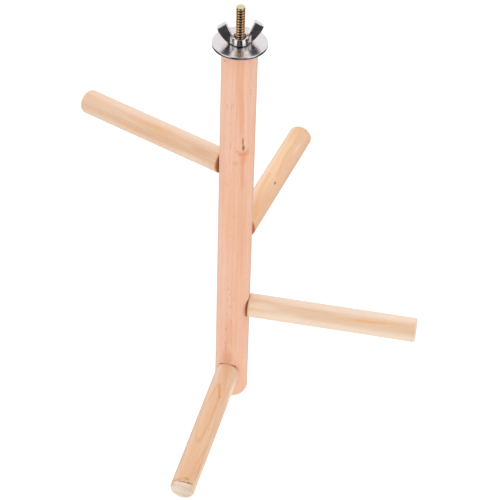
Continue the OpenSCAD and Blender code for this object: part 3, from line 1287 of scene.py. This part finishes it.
class PERCH_OT_bolt(bpy.types.Operator):
    """Build the hanger bolt: a machine thread above, a plain neck and a wood thread with its point below"""

    bl_idname = "perch.bolt"
    bl_label = "Hanger bolt"

    def execute(self, context):
        looks = context.scene.bolt_looks
        low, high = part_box("hanger_bolt")
        radius = (high.x - low.x) / 2
        edge = BOLT_END_EDGE_MM * MM
        dish = BOLT_END_DISH_MM * MM
        neck = -BOLT_NECK_MM * MM
        neck_radius = radius - BOLT_NECK_CUT_MM * MM
        start = BOLT_THREAD_START_MM * MM
        point = low.z + BOLT_WOOD_POINT_MM * MM
        wood_radius = BOLT_WOOD_RADIUS_MM * MM
        wood_depth = WOOD_THREAD_DEPTH_MM * MM
        work = bmesh.new()

        def machine_radius(z):
            return min(radius, radius - edge + (high.z - z))

        def machine_depth(z):
            return looks.depth * min(1, max(0, high.z - z - edge) / looks.pitch)

        def wood_thread_depth(z):
            return wood_depth

        def wood_thread_radius(z):
            share = min(1, (z - low.z) / (point - low.z))
            return max(wood_radius * share, wood_depth + POINT_RADIUS_MM * MM)

        lower_first, lower_last = add_thread(
            work,
            low.z + BOLT_TIP_MM * MM,
            neck - BOLT_NECK_RISE_MM * MM,
            WOOD_THREAD_PITCH_MM * MM,
            wood_thread_depth,
            WOOD_THREAD,
            wood_thread_radius,
            BOLT_SIDES,
        )
        upper_first, upper_last = add_thread(
            work,
            start,
            high.z - dish,
            looks.pitch,
            machine_depth,
            MACHINE_THREAD,
            machine_radius,
            BOLT_SIDES,
        )
        chain = [lower_last]
        neck_end = start - BOLT_THREAD_RISE_MM * MM
        for away, z in ((wood_radius, neck), (neck_radius, neck), (neck_radius, neck_end)):
            chain.append(add_ring(work, away, z, BOLT_SIDES))
        chain.append(upper_first)
        for below, above in zip(chain, chain[1:]):
            join_rings(work, below, above)
        end = radius - edge
        rim = [(end - BOLT_END_RIM_MM * MM, high.z), (end * BOLT_DISH_EDGE, high.z)]
        floor = [(end * BOLT_DISH_FLOOR, high.z - dish), (0, high.z - dish)]
        add_cap(work, upper_last, rim + floor)
        add_cap(work, lower_first, [(0, low.z)])
        material = zinc("Yellow zinc", looks, radius / MM, high.z / MM)
        piece = finished("bolt_zinc", to_mesh("bolt_zinc", work), material)
        dress(piece, "stand", "hanger_bolt")
        return {"FINISHED"}


def steel(name):
    """Plain bright steel of the hidden screws, with fine drawn lines."""
    finish = Finish(name)
    lines = finish.noise(finish.millimetres(), STEEL_LINE_SCALE, 3.0).outputs[0]
    colour = finish.mix(lines, STEEL_DARK, STEEL_PALE)
    finish.give(Base_Color=colour, Metallic=1.0, Roughness=finish.remap(lines, *STEEL_ROUGHNESS))
    finish.bump(lines, STEEL_LINE_MM)
    return finish.material


class PERCH_OT_screws(bpy.types.Operator):
    """Build the four hidden screws, threaded and pointed at both ends"""

    bl_idname = "perch.screws"
    bl_label = "Perch screws"

    def execute(self, context):
        material = steel("Screw steel")
        point = SCREW_POINT_MM * MM
        depth = WOOD_THREAD_DEPTH_MM * MM
        pitch = WOOD_THREAD_PITCH_MM * MM
        for node in PERCHES:
            matrix, _, _ = rod_frame(node)
            back = matrix.inverted()
            places = [back @ vertex.co for vertex in frame["nodes"][node + "_screw"].data.vertices]
            low = min(place.z for place in places)
            high = max(place.z for place in places)
            radius = max(math.hypot(place.x, place.y) for place in places)

            def depth_at(z):
                return depth

            def radius_at(z):
                share = min(1, (z - low) / point, (high - z) / point)
                return max(radius * share, depth + POINT_RADIUS_MM * MM)

            work = bmesh.new()
            start, end = low + SCREW_TIP_MM * MM, high - SCREW_TIP_MM * MM
            first, last = add_thread(work, start, end, pitch, depth_at, WOOD_THREAD, radius_at, SCREW_SIDES)
            add_cap(work, last, [(0, high)])
            add_cap(work, first, [(0, low)])
            name = node + "_screw_steel"
            piece = finished(name, to_mesh(name, work), material)
            piece.matrix_world = matrix
            dress(piece, "stand", node + "_screw")
        return {"FINISHED"}


# Washer and wing nut

# Shape of the wing nut, in millimetres. Its wings start a little thicker and larger than the solid's,
# because the softening takes some metal off.
HUB_RADIUS = 6.6
HUB_TOP_RADIUS = 5.5
HUB_HEIGHT = 4.8
HUB_SEAT_EDGE = 0.4
HUB_BORE = 3.25
HUB_MOUTH = 0.9
WING_REACH = 15.7
WING_HEIGHT = 16.1
WING_THICKNESS = 3.9
WING_END_RUN = 4.1
WING_END_FALL = 2.6
WING_BELLY = 0.8
WING_BELLY_STEPS = 6
WING_CORNER = 1.3
WING_CORNER_STEPS = 8
WING_EDGE = 0.55
WING_EDGE_STEPS = 6
WING_CROWN = 0.5
WING_FOOT_OUT = 2.0
WING_FOOT_GAP = 0.2
WING_HEEL_OUT = 0.1
WING_BLEND = 3.0
WING_BLEND_STEPS = 12
ROOT_IN_WING = 0.2
ROOT_IN_HUB = 1.2
NUT_TURN = 9.0
NUT_CELL = 0.14

NUT_SIDES = 192
NUT_SOFTENING = 0.5

# Painted shade round the middle: its radius, how far it fades, its strength and its colour. On the washer
# it is the nut's contact shadow, in the nut it darkens the bore and its mouth
WASHER_PAINTED_SHADE = (HUB_RADIUS, 2.8, 0.65, screen(132, 108, 90))
NUT_BORE_PAINTED_SHADE = (HUB_BORE + HUB_MOUTH, 0.9, 0.9, screen(70, 58, 50))
# Painted shade in the seam between the nut and the washer, in millimetres above the washer
SEAM_FADE_MM = (0.35, 0.75)
SEAM_STRENGTH = 0.85
SEAM_PAINTED_SHADE = screen(58, 46, 38)
# Least and most roughness, and the scale and depth in millimetres of the slight unevenness
WASHER_ROUGHNESS = (0.2, 0.27)
WASHER_GRAIN = (0.5, 0.004)
NUT_ROUGHNESS = (0.04, 0.14)
NUT_GRAIN = (1.1, 0.012)
CLOUD_SCALE = 0.35
CLOUD_RANGE = (0.35, 0.7, 0.0, 0.25)
CLOUD = screen(208, 198, 200)
SCRATCH_SCALE = (0.4, 6.0, 6.0)
SCRATCH_RANGE = (0.5, 0.8, 1.0, 1.35)
DULL_RANGE = (0.35, 0.75)

WASHER_HOLE_MM = 3.55
WASHER_TOP_ROUND_MM = 0.5
WASHER_LOW_EDGE_MM = 0.12
WASHER_SIDES = 180
WASHER_LOWER_STEP_MM = 2
WASHER_UPPER_STEP_MM = 1


def nickel(name, colour, roughness, grain, middle_shade, seat_mm=None):
    """Bright nickel plate with faint clouding, hair scratches, painted shade round the middle and, where a
    seat is given, along the seam, and a slight unevenness.
    """
    finish = Finish(name)
    place = finish.millimetres()
    clouds = finish.noise(place, CLOUD_SCALE, 4.0).outputs[0]
    scratches = finish.noise(place, SCRATCH_SCALE, 4.0, 0.7).outputs[0]
    dull = finish.times(clouds, finish.remap(scratches, *SCRATCH_RANGE))
    tone = finish.mix(finish.remap(clouds, *CLOUD_RANGE), colour, CLOUD)
    # Painted shade round the middle: the nut's contact shadow on the washer, the dark bore in the nut
    start, fade, strength, shade = middle_shade
    near = finish.remap(finish.off_axis(place), start, start + fade, strength, 0.0)
    tone = finish.mix(near, tone, shade)
    # Painted shade in the seam just above the washer
    if seat_mm is not None:
        seam = [seat_mm + above for above in SEAM_FADE_MM]
        low = finish.remap(finish.split(place)[2], *seam, SEAM_STRENGTH, 0.0)
        tone = finish.mix(low, tone, SEAM_PAINTED_SHADE)
    finish.give(Base_Color=tone, Metallic=1.0, Roughness=finish.remap(dull, *DULL_RANGE, *roughness))
    scale, depth_mm = grain
    finish.bump(finish.noise(place, scale, 3.0).outputs[0], depth_mm)
    return finish.material


class PERCH_OT_washer(bpy.types.Operator):
    """Build the polished washer, rounded above where it was punched and sharp below"""

    bl_idname = "perch.washer"
    bl_label = "Clamp washer"

    def execute(self, context):
        looks = context.scene.nickel_looks
        low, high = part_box("clamp_washer")
        radius = (high.x - low.x) / 2
        hole = WASHER_HOLE_MM * MM
        soft = WASHER_TOP_ROUND_MM * MM
        sharp = WASHER_LOW_EDGE_MM * MM
        bottom, top = low.z, high.z
        outline = arc((hole + sharp, bottom + sharp), sharp, 180, 270, 3)
        lower_step = WASHER_LOWER_STEP_MM * MM
        outline += divided([(hole + sharp, bottom), (radius - sharp, bottom)], lower_step)[1:]
        outline += arc((radius - sharp, bottom + sharp), sharp, -90, 0, 3)[1:]
        outline += [(radius, (bottom + top) / 2)]
        outline += arc((radius - soft, top - soft), soft, 0, 90, 8)
        outline += divided([(radius - soft, top), (hole + soft, top)], WASHER_UPPER_STEP_MM * MM)[1:]
        outline += arc((hole + soft, top - soft), soft, 90, 180, 6)[1:]
        data = turned("washer_nickel", outline, even_angles(WASHER_SIDES), closed=True)
        # The washer gets a ring of painted shade round the nut's foot
        material = nickel("Washer nickel", looks.washer, WASHER_ROUGHNESS, WASHER_GRAIN, WASHER_PAINTED_SHADE)
        piece = finished("washer_nickel", data, material)
        dress(piece, "washer", "clamp_washer")
        return {"FINISHED"}


def wing_centres():
    """Centres of a wing's roundings: its bowed outer edge from foot to tip, then its top and its heel."""
    foot = Vector((HUB_RADIUS + WING_FOOT_OUT - WING_CORNER, WING_FOOT_GAP + WING_CORNER))
    tip = Vector((WING_REACH - WING_CORNER, WING_HEIGHT - WING_CORNER - WING_END_FALL))
    rise = tip - foot
    outward = Vector((rise.y, -rise.x)).normalized()
    centres = []
    for step in range(WING_BELLY_STEPS + 1):
        share = step / WING_BELLY_STEPS
        centres.append(foot + rise * share + outward * 4 * share * (1 - share) * WING_BELLY)
    centres.append((WING_REACH - WING_CORNER - WING_END_RUN, WING_HEIGHT - WING_CORNER))
    centres.append((HUB_TOP_RADIUS + WING_HEEL_OUT, HUB_HEIGHT - WING_CORNER))
    return centres


def wing_ring(shrink, y):
    """Points of one layer of a wing, with its corners rounded."""
    radius = WING_CORNER - shrink
    centres = wing_centres()
    points = []
    for number, centre in enumerate(centres):
        before = centres[number - 1]
        after = centres[(number + 1) % len(centres)]
        start = math.atan2(centre[1] - before[1], centre[0] - before[0]) - math.pi / 2
        end = math.atan2(after[1] - centre[1], after[0] - centre[0]) - math.pi / 2
        while end < start:
            end += 2 * math.pi
        for step in range(WING_CORNER_STEPS + 1):
            angle = start + (end - start) * step / WING_CORNER_STEPS
            points.append((centre[0] + radius * math.cos(angle), y, centre[1] + radius * math.sin(angle)))
    return points


def add_loft(work, rings):
    """Closed skin over rings of equal length, capped at both ends."""
    rows = [[work.verts.new(place) for place in ring] for ring in rings]
    for below, above in zip(rows, rows[1:]):
        join_rings(work, below, above)
    work.faces.new(rows[0])
    work.faces.new(list(reversed(rows[-1])))


def wing_rings():
    """Layers of a wing from one face to the other."""
    rings = []
    up = list(range(WING_EDGE_STEPS + 1))
    for side, steps in ((-1, up), (1, reversed(up))):
        for step in steps:
            angle = math.radians(90 * step / WING_EDGE_STEPS)
            y = side * (WING_THICKNESS / 2 - WING_CROWN * (1 - math.cos(angle)))
            rings.append(wing_ring(WING_EDGE * (1 - math.sin(angle)), y))
    return rings


def root_rings():
    """Cross-sections of the hollow root between the hub and a wing, from the hub outward."""
    centre_y = WING_THICKNESS / 2 - ROOT_IN_WING + WING_BLEND
    centre_x = math.sqrt((HUB_RADIUS + WING_BLEND) ** 2 - centre_y**2)
    touch = centre_x * HUB_RADIUS / (HUB_RADIUS + WING_BLEND)
    stations = [HUB_BORE + ROOT_IN_HUB]
    for step in range(WING_BLEND_STEPS + 1):
        stations.append(touch + (centre_x - touch) * step / WING_BLEND_STEPS)
    rings = []
    for x in stations:
        reach = min(centre_x - max(x, touch), WING_BLEND)
        half = centre_y - math.sqrt(WING_BLEND**2 - reach**2)
        top = HUB_HEIGHT + max(0, x - HUB_TOP_RADIUS)
        low = WING_FOOT_GAP
        rings.append([(x, -half, low), (x, half, low), (x, half, top), (x, -half, top)])
    return rings


def apply_modifiers(context, piece):
    """Turns a piece's modifiers into plain mesh."""
    context.view_layer.update()
    shown = piece.evaluated_get(context.evaluated_depsgraph_get())
    data = bpy.data.meshes.new_from_object(shown)
    piece.modifiers.clear()
    old = piece.data
    piece.data = data
    bpy.data.meshes.remove(old)


class PERCH_OT_nut(bpy.types.Operator):
    """Build the wing nut: a coned hub and two wings, melted together as a casting and softened"""

    bl_idname = "perch.nut"
    bl_label = "Wing nut"

    def execute(self, context):
        looks = context.scene.nickel_looks
        hub = [
            (HUB_BORE, 0),
            (HUB_RADIUS - HUB_SEAT_EDGE, 0),
            (HUB_RADIUS, HUB_SEAT_EDGE),
            (HUB_TOP_RADIUS, HUB_HEIGHT),
            (HUB_BORE + HUB_MOUTH, HUB_HEIGHT),
            (HUB_BORE, HUB_HEIGHT - HUB_MOUTH),
        ]
        data = turned("nut_nickel", hub, even_angles(NUT_SIDES), closed=True)
        work = bmesh.new()
        work.from_mesh(data)
        for side in (0, 1):
            before = set(work.verts)
            add_loft(work, wing_rings())
            add_loft(work, root_rings())
            fresh = [vertex for vertex in work.verts if vertex not in before]
            half_turn = Matrix.Rotation(math.pi * side, 3, "Z")
            bmesh.ops.rotate(work, verts=fresh, cent=(0, 0, 0), matrix=half_turn)
        bmesh.ops.recalc_face_normals(work, faces=work.faces)
        work.to_mesh(data)
        work.free()
        seat = washer_height()
        # The nut gets painted shade in its bore and along its seam on the washer
        material = nickel("Nut nickel", looks.nut, NUT_ROUGHNESS, NUT_GRAIN, NUT_BORE_PAINTED_SHADE, seat / MM)
        piece = finished("nut_nickel", data, material)
        melt = piece.modifiers.new("Melt", "REMESH")
        melt.mode = "VOXEL"
        melt.voxel_size = NUT_CELL
        melt.use_smooth_shade = True
        soften = piece.modifiers.new("Soften", "SMOOTH")
        soften.factor = NUT_SOFTENING
        soften.iterations = looks.edge_softness
        apply_modifiers(context, piece)
        place = Matrix.Translation((0, 0, seat)) @ Matrix.Rotation(math.radians(NUT_TURN), 4, "Z")
        piece.data.transform(place @ Matrix.Scale(MM, 4))
        dress(piece, "nut", "wing_nut")
        return {"FINISHED"}


# Stage

FILM_WIDTH_MM = 36
# Nearest and farthest that the camera sees
CAMERA_SEES = (0.05, 60)
FLOOR_SIZE = 40
FLOOR_SHADE = 0.93
FLOOR_GLOW = 0.2
# Direction from which the light is weaker: above and on the camera's side
WEAKER_SIDE = Vector((0, -0.42, 0.91))
FLAG_BLACK = screen(8, 8, 9)
FLAG_CELLS = 16
FLAG_SOFT = 7.0
FLAGS = (
    # name, left and right azimuth, lowest and highest elevation in degrees, distance in metres, strength
    ("centre_flag", -38, 3, -58, 70, 0.45, 0.93),
    ("wing_flag", -4, 36, -26, 48, 0.48, 0.98),
    ("left_flag", -118, -68, -58, 32, 0.55, 0.94),
    ("right_flag", 67, 118, -58, 32, 0.55, 0.94),
    ("high_flag", -50, 45, 42, 76, 0.43, 0.95),
    ("high_side_flag", 85, 140, 38, 64, 0.47, 0.75),
    ("low_flag", -190, 190, -60, -24, 0.6, 0.95),
)


def card_finish(name, colour):
    """Dull paint of a card in the studio."""
    finish = Finish(name)
    finish.give(Base_Color=colour, Roughness=1.0, Specular_IOR_Level=0.0)
    return finish


def staged(name, work, finish):
    """Stands a bmesh in the studio, as a card that isn't part of the perch."""
    data = bpy.data.meshes.new(name)
    work.to_mesh(data)
    work.free()
    data.materials.append(finish.material)
    card = bpy.data.objects.new(name, data)
    bpy.context.scene.collection.objects.link(card)
    return card


def flag(name, left, right, low, high, distance, strength):
    """A curved black card with soft edges, which only reflections see. Azimuth 0 is towards the camera."""
    work = bmesh.new()
    edges = work.loops.layers.uv.new("spread")
    grid = []
    for row in range(FLAG_CELLS + 1):
        up = math.radians(low + (high - low) * row / FLAG_CELLS)
        line = []
        for column in range(FLAG_CELLS + 1):
            around = math.radians(left + (right - left) * column / FLAG_CELLS)
            level = math.cos(up)
            out = Vector((math.sin(around) * level, -math.cos(around) * level, math.sin(up)))
            line.append(work.verts.new(out * distance))
        grid.append(line)
    for row in range(FLAG_CELLS):
        for column in range(FLAG_CELLS):
            corners = ((row, column), (row, column + 1), (row + 1, column + 1), (row + 1, column))
            face = work.faces.new([grid[up][along] for up, along in corners])
            for loop, (up, along) in zip(face.loops, corners):
                loop[edges].uv = (along / FLAG_CELLS, up / FLAG_CELLS)
    finish = card_finish(name, FLAG_BLACK)
    spot = finish.split(finish.add("ShaderNodeTexCoord").outputs["UV"])
    solid = strength
    for axis, span in ((0, right - left), (1, high - low)):
        from_middle = finish.math("ABSOLUTE", finish.math("SUBTRACT", spot[axis], 0.5))
        solid = finish.times(solid, finish.remap(from_middle, 0.5 - FLAG_SOFT / span, 0.5, 1.0, 0.0))
    finish.give(Alpha=solid)
    card = staged(name, work, finish)
    card.visible_camera = False
    card.visible_diffuse = False
    card.visible_shadow = False


def add_floor(height):
    """A pale floor that shows plain white to the camera and keeps the object's shadow."""
    work = bmesh.new()
    bmesh.ops.create_grid(work, x_segments=1, y_segments=1, size=FLOOR_SIZE / 2)
    finish = card_finish("floor", [FLOOR_SHADE] * 3)
    finish.give(Emission_Color=(1, 1, 1), Emission_Strength=finish.times(finish.seen_plainly(), FLOOR_GLOW))
    staged("floor", work, finish).location.z = height


def add_camera(scene, looks):
    """The photograph's camera."""
    lens = bpy.data.cameras.new("Camera")
    lens.sensor_width = FILM_WIDTH_MM
    lens.lens = looks.camera_lens_mm
    lens.clip_start, lens.clip_end = CAMERA_SEES
    camera = bpy.data.objects.new("Camera", lens)
    scene.collection.objects.link(camera)
    dip = Matrix.Rotation(math.pi / 2 - looks.camera_dip, 4, "X")
    aim = dip @ Matrix.Rotation(looks.camera_roll, 4, "Z")
    camera.matrix_world = Matrix.Translation(looks.camera_place) @ aim
    scene.camera = camera


def add_world(scene, looks):
    """Even white light, a little weaker from one side, behind a background that shows plain white."""
    world = bpy.data.worlds.new("Studio")
    world.use_nodes = True
    scene.world = world
    nodes = Nodes(world.node_tree)
    nodes.tree.nodes.clear()
    sky = nodes.add("ShaderNodeTexCoord").outputs["Generated"]
    above = nodes.vector("DOT_PRODUCT", sky, (0, 0, looks.light * looks.overhead))
    weaker = nodes.vector("DOT_PRODUCT", sky, WEAKER_SIDE * looks.light * looks.behind)
    spread = nodes.math("SUBTRACT", above, nodes.math("MAXIMUM", weaker, 0.0))
    mixer = nodes.add("ShaderNodeMixShader")
    nodes.feed(mixer.inputs[0], nodes.seen_plainly())
    for number, strength in ((1, nodes.math("ADD", spread, looks.light)), (2, 1.0)):
        light = nodes.add("ShaderNodeBackground")
        nodes.feed(light.inputs["Color"], (1, 1, 1))
        nodes.feed(light.inputs["Strength"], strength)
        nodes.feed(mixer.inputs[number], light.outputs[0])
    output = nodes.add("ShaderNodeOutputWorld")
    nodes.feed(output.inputs["Surface"], mixer.outputs[0])


class PERCH_OT_stage(bpy.types.Operator):
    """Set up the camera, the floor, the even white light and the black cards that metal needs"""

    bl_idname = "perch.stage"
    bl_label = "Stage"

    def execute(self, context):
        looks = context.scene.stage_looks
        low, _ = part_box("post")
        add_camera(context.scene, looks)
        add_floor(low.z - looks.floor_drop)
        add_world(context.scene, looks)
        for row in FLAGS:
            flag(*row)
        context.scene.view_settings.view_transform = "Standard"
        return {"FINISHED"}


class PERCH_PT_panel(bpy.types.Panel):
    """Lists the pieces of the bird perch and their looks"""

    bl_idname = "PERCH_PT_panel"
    bl_label = "Bird perch"
    bl_space_type = "VIEW_3D"
    bl_region_type = "UI"
    bl_category = "Bird perch"

    def draw(self, context):
        for step in STEPS:
            self.layout.operator(step.bl_idname)
        for title, group in GROUPS.items():
            looks = getattr(context.scene, title)
            box = self.layout.box()
            for key in group.__annotations__:
                box.prop(looks, key)


GROUPS = {
    "wood_looks": WoodLooks,
    "bolt_looks": BoltLooks,
    "nickel_looks": NickelLooks,
    "stage_looks": StageLooks,
}
STEPS = (
    PERCH_OT_post,
    PERCH_OT_perches,
    PERCH_OT_bolt,
    PERCH_OT_screws,
    PERCH_OT_washer,
    PERCH_OT_nut,
    PERCH_OT_stage,
)


def register():
    for group in GROUPS.values():
        bpy.utils.register_class(group)
    for step in STEPS:
        bpy.utils.register_class(step)
    bpy.utils.register_class(PERCH_PT_panel)
    for title, group in GROUPS.items():
        setattr(bpy.types.Scene, title, PointerProperty(type=group))


def unregister():
    for title in GROUPS:
        delattr(bpy.types.Scene, title)
    bpy.utils.unregister_class(PERCH_PT_panel)
    for step in reversed(STEPS):
        bpy.utils.unregister_class(step)
    for group in reversed(list(GROUPS.values())):
        bpy.utils.unregister_class(group)


def main():
    register()
    bpy.ops.perch.post()
    bpy.ops.perch.perches()
    bpy.ops.perch.bolt()
    bpy.ops.perch.screws()
    bpy.ops.perch.washer()
    bpy.ops.perch.nut()
    bpy.ops.perch.stage()


if __name__ == "__main__":
    main()
